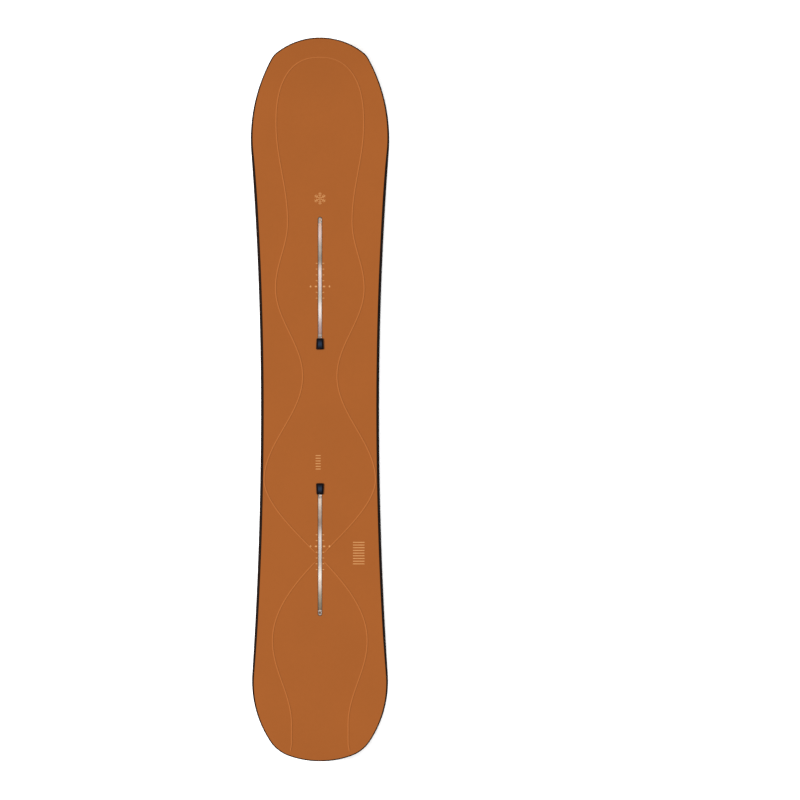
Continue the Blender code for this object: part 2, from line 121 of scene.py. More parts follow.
def atLeast(low, value):
    # What ran from 0 to 1 now runs from low to 1.
    return plus(times(value, 1 - low), low)


def part(vector, axis):
    return addNode("SeparateXYZ", {"Vector": vector}).outputs[axis]


def mapped(value, low, high, toLow, toHigh, interpolation="LINEAR"):
    ends = {"From Min": low, "From Max": high, "To Min": toLow, "To Max": toHigh}
    return addNode("MapRange", {"Value": value, **ends}, interpolation_type=interpolation).outputs[0]


def smoothStep(value, low, high):
    # 0 below low and 1 above high, or the other way round where low is the greater.
    toLow, toHigh = (1.0, 0.0) if low > high else (0.0, 1.0)
    return mapped(value, min(low, high), max(low, high), toLow, toHigh, "SMOOTHSTEP")


def roughened(value, low, high):
    # Roughness from a noise, most of which lies between 0.3 and 0.7.
    return mapped(value, 0.3, 0.7, low, high)


def blend(factor, first, second, mode="MIX"):
    # Each colour is a socket, or plain red, green and blue.
    first, second = (tone if isSocket(tone) else (*tone, 1) for tone in (first, second))
    node = addNode("Mix", {0: factor, 6: first, 7: second}, data_type="RGBA", blend_type=mode)
    return node.outputs[2]


def noise(vector, scale, detail=2.0, roughness=0.5, distortion=0.0, output=0):
    sockets = {"Vector": vector, "Scale": scale, "Detail": detail, "Roughness": roughness,
               "Distortion": distortion}
    return addNode("TexNoise", sockets).outputs[output]


def ramp(factor, stops, interpolation="LINEAR"):
    node = addNode("ValToRGB", {"Fac": factor})
    band = node.color_ramp
    band.interpolation = interpolation
    while len(band.elements) < len(stops):
        band.elements.new(0.5)
    for element, (place, colour) in zip(band.elements, stops):
        element.position = place
        element.color = (*colour, 1)
    return node.outputs["Color"]


def bump(height, depth):
    return addNode("Bump", {"Height": height, "Distance": depth, "Strength": 1.0}).outputs["Normal"]


def newGroup(name, *numbers, colours=()):
    # Its inputs are a vector, then numbers, then colours.
    group = bpy.data.node_groups.new(name, "ShaderNodeTree")
    kinds = {"Vector": "Vector", **dict.fromkeys(numbers, "Float"), **dict.fromkeys(colours, "Color")}
    for label, kind in kinds.items():
        group.interface.new_socket(name=label, in_out="INPUT", socket_type="NodeSocket" + kind)
    return group, group.nodes.new("NodeGroupInput").outputs


def closeGroup(group, results):
    # Each output takes its kind from the socket that feeds it.
    kinds = {"VALUE": "Float", "VECTOR": "Vector", "RGBA": "Color"}
    for label, source in results.items():
        kind = "NodeSocket" + kinds[source.type]
        group.interface.new_socket(name=label, in_out="OUTPUT", socket_type=kind)
    end = group.nodes.new("NodeGroupOutput")
    for label, source in results.items():
        group.links.new(source, end.inputs[label])
    return group


def useGroup(group, place, *values):
    # Values follow the order of the group's inputs.
    return addNode("Group", dict(enumerate((place, *values))), node_tree=group).outputs


# Effects that several materials share

grainForm = {"broadScale": 14.0, "fineShare": 0.35}
mottleForm = {"smallScale": 16.0, "broadShare": 0.7, "range": (0.35, 0.65)}


def makeGrainGroup():
    # Fine pimpled grain with a roughness that varies with it.
    group, given = newGroup("fineGrain", "Scale", "Depth", "Rough Low", "Rough High")
    fine = noise(given["Vector"], given["Scale"], 2.0, 0.6)
    broad = noise(given["Vector"], grainForm["broadScale"], 4.0, 0.6)
    both = mixed(fine, broad, grainForm["fineShare"])
    rough = roughened(both, given["Rough Low"], given["Rough High"])
    return closeGroup(group, {"Roughness": rough, "Normal": bump(fine, given["Depth"])})


def makeMottleGroup():
    # Two tones of a colour, mixed softly at a broad and a small scale.
    group, given = newGroup("softMottle", "Scale", colours=("First", "Second"))
    broad = noise(given["Vector"], given["Scale"], 3.0, 0.55)
    small = noise(given["Vector"], times(given["Scale"], mottleForm["smallScale"]), 2.0, 0.5)
    share = smoothStep(mixed(broad, small, mottleForm["broadShare"]), *mottleForm["range"])
    return closeGroup(group, {"Color": blend(share, given["First"], given["Second"])})


def makeDrawnGroup():
    # Fine lines along the board, as drawing, grinding or milling leaves them.
    group, given = newGroup("drawnLines", "Across", "Along", "Depth")
    factors = {"X": given["Across"], "Y": given["Along"], "Z": given["Across"]}
    mask = noise(scaled(given["Vector"], addNode("CombineXYZ", factors).outputs[0]), 1.0, 3.0, 0.65)
    return closeGroup(group, {"Mask": mask, "Normal": bump(mask, given["Depth"])})


fineGrain = makeGrainGroup()
softMottle = makeMottleGroup()
drawnLines = makeDrawnGroup()

# what a look may set on the shader's own sockets, the same all over the surface
shaderSockets = {"specular": "Specular IOR Level", "metallic": "Metallic", "glow": "Emission Strength"}


def newMaterial(name, look):
    material = bpy.data.materials.new(name)
    material.use_nodes = True
    shader = material.node_tree.nodes["Principled BSDF"]
    for key, label in shaderSockets.items():
        if key in look:
            shader.inputs[label].default_value = look[key]
    return material, addNode("TexCoord", {}, material.node_tree).outputs["Object"]


def finishMaterial(material, colour, rough, normal):
    tree = material.node_tree
    for key, source in (("Base Color", colour), ("Roughness", rough), ("Normal", normal)):
        tree.links.new(source, tree.nodes["Principled BSDF"].inputs[key])
    return material


def mottled(place, scale, first, second):
    return useGroup(softMottle, place, scale, (*first, 1), (*second, 1))[0]


def grainedMaterial(name, look, tones="tones", recolour=None):
    # Two mottled tones under a fine grain: its scale and depth, and the least and greatest
    # roughness. Recolour may add to the colour.
    material, place = newMaterial(name, look)
    colour = mottled(place, look["mottle"], *look[tones])
    if recolour:
        colour = recolour(place, colour)
    return finishMaterial(material, colour, *useGroup(fineGrain, place, *look["grain"]))


# Form of the board, the same as the solid's. Underfoot it is flat, then it ramps down to the
# contact zones and kicks up at both ends.

boardForm = {
    "length": 1.560, "noseWidth": 0.2986, "tailWidth": 0.2932, "waistWidth": 0.2547,
    "waistSetback": 0.020, "noseReach": 0.220, "noseTipRadius": 0.151, "noseCornerRadius": 0.045,
    "noseShoulderRadius": 0.363, "tailReach": 0.173, "tailTipRadius": 0.200,
    "tailCornerRadius": 0.080, "tailShoulderRadius": 0.2355, "camber": 0.005,
    "contactLength": 0.024, "noseKickRadius": 0.430, "tailKickRadius": 0.400,
    "thickness": 0.0104, "tipThickness": 0.0056, "taperEndFromTip": 0.035,
    "flatFront": 0.4054, "flatRear": -0.4787, "fineStep": 0.008, "coarseStep": 0.030,
    "tipSteps": 26, "cornerSteps": 16, "shoulderSteps": 40, "flareSteps": 4,
}

layerForm = {
    "bond": 0.0003, "base": 0.0012, "edgeWidth": 0.0020, "flangeHeight": 0.0005,
    "flangeWidth": 0.0040, "laminate": 0.0006, "topsheet": 0.0005, "sidewallWidth": 0.0090,
    "slope": 0.625, "rimRounding": 0.00025, "edgeChamfer": 0.00012,
    # the land at the rim that is ground dark, and the run over which its width changes
    "tipLand": 0.0008, "sideLand": 0.0015, "noseBlend": 0.060, "tailBlend": 0.300,
}

halfLength = boardForm["length"] / 2
noseWidest = halfLength - boardForm["noseReach"]
tailWidest = -(halfLength - boardForm["tailReach"])
bond = layerForm["bond"]
flangeLow = layerForm["base"] + bond
edgeHeight = flangeLow + layerForm["flangeHeight"]
laminateRimLow = edgeHeight + bond
laminateHigh = laminateRimLow + layerForm["laminate"]
coreLow = laminateHigh + bond
upperLaminateHigh = layerForm["topsheet"] + bond
upperLaminateLow = upperLaminateHigh + layerForm["laminate"]
coreHigh = upperLaminateLow + bond


def ease(share):
    return (1 - math.cos(math.pi * min(max(share, 0), 1))) / 2


def baseHeight(y):
    form = boardForm
    front = y > 0
    widest, flat = (noseWidest, form["flatFront"]) if front else (-tailWidest, -form["flatRear"])
    contact = form["contactLength"]
    beyond = abs(y) - widest - contact / 2
    if beyond > 0:
        radius = form["noseKickRadius" if front else "tailKickRadius"]
        return radius - math.sqrt(radius**2 - beyond**2)
    return form["camber"] * ease((beyond + contact) / (flat - widest + contact / 2))


def thickness(y):
    form = boardForm
    flat = form["flatFront"] if y > 0 else -form["flatRear"]
    taper = halfLength - form["taperEndFromTip"] - flat
    thinning = (form["thickness"] - form["tipThickness"]) * ease((abs(y) - flat) / taper)
    return form["thickness"] - thinning


def topHeight(y):
    return baseHeight(y) + thickness(y)


def aboveBase(level):
    return lambda y: baseHeight(y) + level


def belowTop(depth):
    return lambda y: topHeight(y) - depth


def slopedInset(depth, extra=0.0):
    # How far the sloped side has come in at this depth below the topsheet's upper face.
    return lambda y: layerForm["slope"] * (thickness(y) - depth - coreLow) + extra


def landInset(depth, extra=0.0):
    # Inner limit of the land that is ground dark, wider along the sidewalls than round the tips.
    def inset(y):
        form = layerForm
        share = ease(min((noseWidest - y) / form["noseBlend"], (y - tailWidest) / form["tailBlend"]))
        land = form["tipLand"] + (form["sideLand"] - form["tipLand"]) * share
        return slopedInset(depth, extra + land)(y)

    return inset


def spaced(start, end, step):
    count = max(1, math.ceil(abs(end - start) / step - 1e-6))
    return [start + (end - start) * i / count for i in range(count + 1)]


def arc(centre, radius, start, end, steps):
    points = []
    for i in range(steps + 1):
        angle = start + (end - start) * i / steps
        outward = Vector((math.cos(angle), math.sin(angle)))
        points.append((centre + outward * radius, outward))
    return points


def endOutline(end, waistDistance):
    # Right-hand outline of one end from its tip to the sidecut, whose centre and radius come last.
    form = boardForm
    reach, width = form[end + "Reach"], form[end + "Width"]
    tipRadius, cornerRadius = form[end + "TipRadius"], form[end + "CornerRadius"]
    shoulderRadius = form[end + "ShoulderRadius"]
    tipCentre = Vector((0, reach - tipRadius))
    shoulderCentre = Vector((width / 2 - shoulderRadius, 0))
    across = shoulderCentre - tipCentre
    near, far = tipRadius - cornerRadius, shoulderRadius - cornerRadius
    along = (near**2 - far**2 + across.length_squared) / (2 * across.length)
    unit = across.normalized()
    square = Vector((-unit.y, unit.x)) * math.sqrt(near**2 - along**2)
    middle = tipCentre + unit * along
    cornerCentre = max(middle + square, middle - square, key=lambda centre: centre.y)
    flare = (width - form["waistWidth"]) / 2
    cutRadius = (flare**2 + waistDistance**2) / (2 * flare) - shoulderRadius
    cutCentre = Vector((form["waistWidth"] / 2 + cutRadius, -waistDistance))

    def heading(first, last):
        return math.atan2(last.y - first.y, last.x - first.x)

    tipEnd = heading(tipCentre, cornerCentre)
    cornerEnd = heading(shoulderCentre, cornerCentre)
    shoulderEnd = heading(shoulderCentre, cutCentre)
    points = arc(tipCentre, tipRadius, math.acos(bond / 2 / tipRadius), tipEnd, form["tipSteps"])
    points += arc(cornerCentre, cornerRadius, tipEnd, cornerEnd, form["cornerSteps"])[1:]
    points += arc(shoulderCentre, shoulderRadius, cornerEnd, 0, form["shoulderSteps"])[1:]
    points += arc(shoulderCentre, shoulderRadius, 0, shoulderEnd, form["flareSteps"])[1:]
    return points, cutCentre, cutRadius


def sidecut(centre, radius, stations):
    points = []
    for y in stations:
        angle = math.asin((y - centre.y) / radius)
        point = Vector((centre.x - radius * math.cos(angle), y))
        points.append((point, Vector((math.cos(angle), -math.sin(angle)))))
    return points


def boardOutline():
    # Right-hand outline from the tail's tip to the nose's, each point with its outward direction.
    def fromMiddle(points, widest, towards):
        flip = Vector((1, towards))
        return [(point * flip + Vector((0, widest)), outward * flip) for point, outward in points]

    form = boardForm
    waist = -form["waistSetback"]
    nose, noseCut, noseRadius = endOutline("nose", noseWidest - waist)
    tail, tailCut, tailRadius = endOutline("tail", waist - tailWidest)
    nose = fromMiddle(nose, noseWidest, 1)
    tail = fromMiddle(tail, tailWidest, -1)
    rear = spaced(tail[-1][0].y, form["flatRear"], form["fineStep"])[1:]
    rear += spaced(form["flatRear"], waist, form["coarseStep"])[1:]
    front = spaced(waist, form["flatFront"], form["coarseStep"])[1:]
    front += spaced(form["flatFront"], nose[-1][0].y, form["fineStep"])[1:-1]
    return (tail + sidecut(Vector((tailCut.x, waist)), tailRadius, rear)
            + sidecut(Vector((noseCut.x, waist)), noseRadius, front) + nose[::-1])


outline = boardOutline()


def outlineAt(y):
    for (low, lowOut), (high, highOut) in zip(outline, outline[1:]):
        if low.y <= y <= high.y:
            share = (y - low.y) / (high.y - low.y)
            return low.lerp(high, share), lowOut.lerp(highOut, share).normalized()
    return outline[0] if y < 0 else outline[-1]


def outlineBetween(low, high):
    first = [] if low <= -halfLength else [outlineAt(low)]
    last = [] if high >= halfLength else [outlineAt(high)]
    after = low + bond if first else -boardForm["length"]
    before = high - bond if last else boardForm["length"]
    return first + [entry for entry in outline if after < entry[0].y < before] + last


# Making pieces

sharpAngle = 32
sides = ((1, "Right"), (-1, "Left"))


def shade(mesh, sharp=sharpAngle):
    mesh.shade_smooth()
    mesh.set_sharp_from_angle(angle=math.radians(sharp))


def makePiece(name, bm, material, body="board", sharp=sharpAngle, closed=True):
    # Turns a finished bmesh into an object that rides on a body.
    if closed:
        bmesh.ops.recalc_face_normals(bm, faces=bm.faces)
    mesh = bpy.data.meshes.new(name)
    bm.to_mesh(mesh)
    bm.free()
    mesh.materials.append(material)
    shade(mesh, sharp)
    piece = addToScene(name, mesh)
    if body:
        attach(piece, body)
    return piece


def standFor(node):
    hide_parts(node)


def carry(bm, sections):
    # Carries one face through all the sections and closes both ends.
    face = bm.faces.new([bm.verts.new(point) for point in sections[0]])
    for section in sections[1:]:
        face = bmesh.ops.extrude_discrete_faces(bm, faces=[face])["faces"][0]
        for vert, point in zip(face.verts, section):
            vert.co = point
    bmesh.ops.holes_fill(bm, edges=[edge for edge in bm.edges if edge.is_boundary])


def sectionPoint(entry, inset, height):
    point, outward = entry
    spot = point - outward * (inset(point.y) if callable(inset) else inset)
    return Vector((spot.x, spot.y, height(spot.y)))


def layer(name, node, profile, material, side=0, low=-halfLength, high=halfLength):
    # A profile carried along the outline. With side 0 it climbs the right-hand side of a layer as
    # wide as the board, otherwise it is the section of a strip that follows that side.
    sections = []
    for entry in outlineBetween(low, high):
        right = [sectionPoint(entry, inset, height) for inset, height in profile]
        left = [Vector((-point.x, point.y, point.z)) for point in right]
        sections.append({0: right + left[::-1], 1: right, -1: left}[side])
    bm = bmesh.new()
    carry(bm, sections)
    piece = makePiece(name, bm, material)
    standFor(node)
    return piece


def move(bm, vec, verts=None):
    bmesh.ops.translate(bm, verts=verts or bm.verts, vec=vec)


def uprightBlock(bm, plan, low, high):
    # An outline drawn in plan and carried up from low to high. Returns its new vertices.
    old = set(bm.verts)
    face = bm.faces.new([bm.verts.new((x, y, low)) for x, y in plan])
    raised = bmesh.ops.extrude_face_region(bm, geom=[face])["geom"]
    move(bm, (0, 0, high - low), [item for item in raised if isinstance(item, bmesh.types.BMVert)])
    return [vert for vert in bm.verts if vert not in old]


def fourSided(nearHalf, farHalf, near, far):
    return [(nearHalf, near), (farHalf, far), (-farHalf, far), (-nearHalf, near)]


def highest(faces):
    return max(faces, key=lambda face: face.calc_center_median().z)


def uprightEdges(bm, verts):
    chosen = set(verts)
    return [edge for edge in bm.edges if edge.verts[0] in chosen
            and (edge.verts[1].co - edge.verts[0].co).xy.length < bond / 2]


def bevel(bm, edges, offset, segments):
    bmesh.ops.bevel(bm, geom=edges, offset=offset, segments=segments, affect="EDGES", profile=0.5,
                    material=-1)


def shapeWith(piece, tool, operation):
    # Joins a tool to a piece or cuts it away, and removes the tool.
    modifier = piece.modifiers.new(operation.lower(), "BOOLEAN")
    modifier.operation = operation
    modifier.solver = "EXACT"
    modifier.object = tool
    graph = bpy.context.evaluated_depsgraph_get()
    piece.data = bpy.data.meshes.new_from_object(piece.evaluated_get(graph))
    piece.modifiers.clear()
    bpy.data.objects.remove(tool)


# Materials of the layers. Lines are how fine they are across and along, and their depth.

topsheetLook = {
    "orange": ((0.2290, 0.0685, 0.0158), (0.2215, 0.0665, 0.0154)),
    # the raised line's tones, lighter than the orange: a painted highlight
    "relief": ((0.276, 0.0885, 0.0232), (0.268, 0.0857, 0.0224)),
    "specular": 0.004, "mottle": 7.0, "grain": (900.0, 0.000020, 0.52, 0.64),
    "dotPlace": (0.0204, 0.3167, 0.0), "dotSize": (0.0034, 0.0042), "dotRim": (1.08, 0.92),
    "dotTone": (0.40, 0.187, 0.068),
}


def dotted(place, colour):
    # Printed dots that run on over the raised line, the same on both sides.
    look = topsheetLook
    width, length = look["dotSize"]
    spot = vectorCalc("SUBTRACT", vectorCalc("ABSOLUTE", place), look["dotPlace"])
    distance = vectorCalc("LENGTH", scaled(spot, (2 / width, 2 / length, 0.0)))
    return blend(smoothStep(distance, *look["dotRim"]), colour, look["dotTone"])


topsheetSatin = grainedMaterial("topsheetSatin", topsheetLook, "orange")
# the raised line is painted lighter than the sheet around it: painted highlight
reliefPaintedHighlight = grainedMaterial("reliefPaintedHighlight", topsheetLook, "relief", dotted)

blackLook = {
    "mottle": 18.0, "rough": (0.42, 0.6),
    "sidewallBlack": {"tones": ((0.0042, 0.0010, 0.0003), (0.0062, 0.0016, 0.0006)), "specular": 0.03,
                      "lines": (2200.0, 9.0, 0.000008)},
    "cutEdgeBlack": {"tones": ((0.0048, 0.0016, 0.0006), (0.0075, 0.0030, 0.0013)), "specular": 0.04,
                     "lines": (2200.0, 9.0, 0.000004)},
    "spacerBlack": {"tones": ((0.0042, 0.0010, 0.0003), (0.0060, 0.0016, 0.0006)), "specular": 0.03,
                    "lines": (2200.0, 9.0, 0.000004)},
}


def plasticBlack(name):
    # Milled or moulded black plastic with faint lines along the board.
    look = blackLook[name]
    material, place = newMaterial(name, look)
    mask, normal = useGroup(drawnLines, place, *look["lines"])
    colour = mottled(place, blackLook["mottle"], *look["tones"])
    return finishMaterial(material, colour, roughened(mask, *blackLook["rough"]), normal)


glassLook = {
    "specular": 0.5, "yarns": 250.0, "waver": 0.4, "depth": 0.00005, "cloud": 30.0,
    "rough": (0.25, 0.45),
    "tones": [(0.0, (0.20, 0.19, 0.11)), (0.5, (0.40, 0.39, 0.26)), (1.0, (0.58, 0.57, 0.42))],
}


def wovenGlass():
    # Glass cloth in clear resin: two sets of fine yarns that cross.
    look = glassLook
    material, place = newMaterial("wovenGlass", look)
    wave = {"Vector": place, "Scale": look["yarns"], "Distortion": look["waver"], "Detail": 1.0,
            "Detail Scale": 1.0}
    yarns = [addNode("TexWave", wave, wave_type="BANDS", bands_direction=axis).outputs["Fac"]
             for axis in ("X", "Y")]
    weave = times(*yarns)
    rough = roughened(noise(place, look["cloud"], 3.0), *look["rough"])
    return finishMaterial(material, ramp(weave, look["tones"]), rough, bump(weave, look["depth"]))


woodLook = {
    "specular": 0.3, "stripOffset": 0.0085, "stripWidth": 0.0303, "shift": 7.3,
    "grain": (420.0, 7.0, 420.0), "rings": (70.0, 1.6, 70.0), "grainShare": 0.45, "depth": 0.00003,
    "stain": (0.42, 0.25, 0.12), "stainShare": 0.35, "rough": (0.55, 0.72),
    "tones": [(0.32, (0.36, 0.20, 0.085)), (0.5, (0.55, 0.36, 0.18)), (0.68, (0.68, 0.49, 0.28))],
}


def planedWood():
    # Glued strips, each of its own tone, with grain along the board.
    look = woodLook
    material, place = newMaterial("planedWood", look)
    across = calc("DIVIDE", plus(part(place, "X"), look["stripOffset"]), look["stripWidth"])
    strip = calc("FLOOR", across)
    own = moved(place, addNode("CombineXYZ", {"X": times(strip, look["shift"])}).outputs[0])
    grain = noise(scaled(own, look["grain"]), 1.0, 5.0, 0.6, 0.4)
    rings = noise(scaled(own, look["rings"]), 1.0, 2.0, 0.5, 0.8)
    chance = addNode("TexWhiteNoise", {"W": strip}, noise_dimensions="1D").outputs["Value"]
    colour = ramp(mixed(grain, rings, look["grainShare"]), look["tones"])
    colour = blend(times(chance, look["stainShare"]), colour, look["stain"])
    rough = roughened(grain, *look["rough"])
    return finishMaterial(material, colour, rough, bump(grain, look["depth"]))


# the tones and the roughness run from the dark spots to the light ones
steelLook = {
    "groundSteel": {"tones": [(0.35, (0.23, 0.23, 0.24)), (0.65, (0.40, 0.40, 0.42))],
                    "rough": (0.40, 0.26)},
    "darkSteel": {"tones": [(0.35, (0.016, 0.014, 0.012)), (0.65, (0.035, 0.031, 0.027))],
                  "rough": (0.5, 0.35)},
    "metallic": 1.0, "lines": (3500.0, 30.0, 0.000004), "spots": 160.0, "lineShare": 0.7,
}


def edgeSteel(name):
    tones, rough = steelLook[name]["tones"], steelLook[name]["rough"]
    material, place = newMaterial(name, steelLook)
    mask, normal = useGroup(drawnLines, place, *steelLook["lines"])
    share = mixed(mask, noise(place, steelLook["spots"], 3.0, 0.6), steelLook["lineShare"])
    rough = mapped(share, tones[0][0], tones[-1][0], *rough)
    return finishMaterial(material, ramp(share, tones), rough, normal)


sidewallBlack = plasticBlack("sidewallBlack")
cutEdgeBlack = plasticBlack("cutEdgeBlack")
spacerBlack = plasticBlack("spacerBlack")
glassCloth = wovenGlass()
coreWood = planedWood()
groundSteel = edgeSteel("groundSteel")
darkSteel = edgeSteel("darkSteel")


# Printed running base: plates of dark rock with black crevices, brown and ochre areas, gold
# flakes and pale grit, and a pale hexagon near the nose

baseLook = {
    "black": (0.0018, 0.0010, 0.0005), "umber": (0.0130, 0.0066, 0.0028),
    "brown": (0.032, 0.0165, 0.0065), "charcoal": (0.0195, 0.0143, 0.0108),
    "slate": (0.053, 0.0405, 0.0325), "ochre": (0.125, 0.060, 0.0185), "gold": (0.41, 0.215, 0.085),
    "speck": (0.50, 0.34, 0.20),
    "rocks": [(0.44, "slate"), (0.52, "charcoal"), (0.57, "slate"), (0.61, "charcoal"), (0.66, "umber"),
              (0.71, "brown"), (0.77, "umber"), (0.85, "brown"), (0.94, "ochre")],
    "grit": [(0.34, (0.10, 0.10, 0.10)), (0.48, (0.75, 0.75, 0.75)), (0.57, (1.7, 1.65, 1.6)),
             (0.66, (4.6, 4.3, 4.0))],
    # brightness at the waist and towards the tips
    "waist": (0.60, 0.60, 0.60), "tips": (1.3, 1.3, 1.3),
    "specular": 0.025, "lines": (1500.0, 6.0, 0.000010), "rough": (0.30, 0.45),
    "badge": ((0.655, 0.462, 0.228), (0.625, 0.435, 0.210)), "badgeCentre": (0.0, 0.526, 0.0),
    "badgeReach": 0.046, "badgeBlur": 0.0003, "badgeMottle": 40.0, "motif": (0.010, 0.006, 0.003),
    "crystalReach": 0.038,
}

basePattern = {
    # bends of the pattern, one on top of the other: scale, reach and seed
    "bends": {"broad": (9.0, 0.10, (3, 1, 0)), "bent": (45.0, 0.018, (0, 7, 0))},
    # large and small plates: scale, and where a crevice ends
    "plates": [(10.0, 0.012, 0.050), (27.0, 0.030, 0.120)], "plateStretch": (1.0, 0.72, 1.0),
    # share of chance in a plate's tone, and what is left in the crevices of large and small
    # plates and of the gold on them
    "chance": 0.26, "inCrevices": (0.05, 0.10), "goldInCrevices": 0.15,
    # where an effect sets in and where it is full: along the tones of the plates, up the noise of
    # the gold sheets, and along the board
    "warmFrom": (0.58, 0.70), "crumbsFrom": (0.54, 0.68), "sheetsFrom": (0.62, 0.70),
    "sheetRise": (0.30, 0.74), "levelRise": (0.05, 0.45), "sheetGain": 0.10, "gritOffGold": 0.6,
    # noises: the bend each follows, its seed, its scale, detail and roughness, and for a mask
    # where it starts and where it is full, and its strength
    "marks": {
        "drift": ("broad", (0, 0, 0), (7.5, 3, 0.6)),
        "cloud": ("bent", (0, 0, 0), (75, 6, 0.72), (0.53, 0.38), 0.9),
        "warm": ("bent", (5, 2, 0), (60, 6, 0.75), (0.52, 0.66), 0.8),
        "merged": ("flat", (9, 4, 0), (16, 3, 0.5), (0.46, 0.62), 0.75),
        "sheets": ("broad", (2, 6.3, 0), (8.5, 3, 0.55)),
        "broken": ("bent", (1, 8, 0), (70, 8, 0.75), (0.44, 0.53), 1),
        "flakeField": ("broad", (6, 3.1, 0), (14, 2, 0.5), (0.47, 0.60), 1),
        "flakes": ("bent", (4, 4, 0), (120, 3, 0.6), (0.64, 0.70), 0.7),
        "crumbs": ("flat", (7, 1, 0), (135, 4, 0.7), (0.55, 0.63), 0.5),
        "patches": ("bent", (1, 9, 0), (26, 3, 0.6), (0.46, 0.60), 1),
        "grit": ("flat", (0, 0, 0), (210, 5, 0.8)),
        "grains": ("flat", (0, 0, 0), (480, 2, 0.6), (0.68, 0.73), 0.55),
    },
}

# measures of the crystal as shares of its reach: a twig's root on the arm and its length
crystalMark = {"arm": 0.052, "twig": 0.042, "ring": 0.17, "ringHalf": 0.045, "soft": 0.012,
               "armEnd": (1.01, 0.98), "twigStart": (-0.02, 0.0), "twigs": ((0.36, 0.22), (0.60, 0.30))}


def makeCrystalGroup():
    # Six-armed snow crystal round the origin of the vector, as a mask. Reach is an arm's length.
    mark = crystalMark
    group, given = newGroup("snowCrystal", "Reach")
    x, y = (calc("DIVIDE", part(given["Vector"], axis), given["Reach"]) for axis in ("X", "Y"))
    radius = calc("SQRT", plus(times(x, x), times(y, y)))
    folded = magnitude(calc("WRAP", calc("ARCTAN2", x, y), math.pi / 6, -math.pi / 6))
    along = times(radius, calc("COSINE", folded))
    across = times(radius, calc("SINE", folded))

    def band(distance, half):
        return smoothStep(distance, half + mark["soft"], half - mark["soft"])

    mask = times(band(across, mark["arm"]), smoothStep(along, *mark["armEnd"]))
    # a twig leaves the arm at 60 degrees
    lean, rise = math.cos(math.pi / 3), math.sin(math.pi / 3)
    for root, length in mark["twigs"]:
        run = minus(along, root)
        sideways = magnitude(minus(times(run, rise), times(across, lean)))
        outward = plus(times(run, lean), times(across, rise))
        twig = times(band(sideways, mark["twig"]), band(outward, length))
        mask = larger(mask, times(twig, smoothStep(outward, *mark["twigStart"])))
    ring = band(magnitude(minus(radius, mark["ring"])), mark["ringHalf"])
    return closeGroup(group, {"Mask": larger(mask, ring)})


def badge(place, flat, ground):
    # Pale hexagon with a snow crystal.
    look = baseLook
    local = vectorCalc("SUBTRACT", flat, look["badgeCentre"])
    offset = vectorCalc("ABSOLUTE", local)
    slanted = plus(times(part(offset, "X"), 0.5), times(part(offset, "Y"), math.sqrt(0.75)))
    reach, blur = look["badgeReach"], look["badgeBlur"]
    inside = smoothStep(larger(part(offset, "X"), slanted), reach + blur, reach - blur)
    crystal = useGroup(makeCrystalGroup(), local, look["crystalReach"])[0]
    tone = blend(crystal, mottled(place, look["badgeMottle"], *look["badge"]), look["motif"])
    return blend(inside, ground, tone)


def printedBase():
    look, pattern = baseLook, basePattern
    material, place = newMaterial("printedBase", look)
    distance = magnitude(part(place, "Y"))
    flat = bent = scaled(place, (1, 1, 0))
    spaces = {"flat": flat}
    for key, (scale, reach, seed) in pattern["bends"].items():
        warp = noise(moved(bent, seed), scale, 4.0, 0.6, output="Color")
        bent = spaces[key] = moved(bent, scaled(warp, (reach, reach, 0)))
    marks = {}
    for key, (space, seed, settings, *mask) in pattern["marks"].items():
        marks[key] = noise(moved(spaces[space], seed), *settings)
        if mask:
            ends, strength = mask
            marks[key] = times(smoothStep(marks[key], *ends), strength)

    # plates in two sizes, with crevices between them and a tone of its own on each small one
    plateSpace = scaled(bent, pattern["plateStretch"])
    crevices = []
    for scale, low, high in pattern["plates"]:
        cells = {"Vector": plateSpace, "Scale": scale}
        edge = addNode("TexVoronoi", cells, feature="DISTANCE_TO_EDGE").outputs[0]
        crevices.append(smoothStep(edge, low, high))
    cellColour = addNode("TexVoronoi", cells, feature="F1").outputs["Color"]
    chance = addNode("SeparateColor", {"Color": cellColour}).outputs[0]
    share = plus(times(chance, pattern["chance"]), marks["drift"])
    ground = ramp(share, [(stop, look[key]) for stop, key in look["rocks"]])
    # cloudy blotches inside the plates
    ground = blend(marks["cloud"], ground, look["black"])
    warm = times(marks["warm"], smoothStep(share, *pattern["warmFrom"]))
    ground = blend(warm, ground, look["ochre"])
    # crevices, narrower where the rock has run together
    inLarge, inSmall = pattern["inCrevices"]
    small = larger(crevices[1], marks["merged"])
    depth = times(atLeast(inLarge, crevices[0]), atLeast(inSmall, small))
    ground = blend(depth, look["black"], ground)
    # gold: broad sheets towards the ends, small flakes all over
    rise = times(smoothStep(distance, *pattern["sheetRise"]), pattern["sheetGain"])
    sheets = smoothStep(plus(marks["sheets"], rise), *pattern["sheetsFrom"])
    flakes = times(marks["flakes"], marks["flakeField"])
    gold = larger(times(sheets, marks["broken"]), flakes)
    gold = times(gold, atLeast(pattern["goldInCrevices"], depth))
    ground = blend(gold, ground, look["gold"])
    # bright crumbs on the warm plates, grit, and a few pale grains
    patches = times(smoothStep(share, *pattern["crumbsFrom"]), marks["patches"])
    ground = blend(times(times(marks["crumbs"], depth), patches), ground, look["gold"])
    gritty = minus(1.0, times(gold, pattern["gritOffGold"]))
    ground = blend(gritty, ground, ramp(marks["grit"], look["grit"]), "MULTIPLY")
    level = blend(smoothStep(distance, *pattern["levelRise"]), look["waist"], look["tips"])
    ground = blend(1.0, ground, level, "MULTIPLY")
    ground = blend(times(marks["grains"], depth), ground, look["speck"])
    # stone-ground structure along the board
    mask, normal = useGroup(drawnLines, place, *look["lines"])
    return finishMaterial(material, badge(place, flat, ground), roughened(mask, *look["rough"]), normal)


basePrint = printedBase()
print("materials of the layers made")


# Sheets and rims that run the whole length

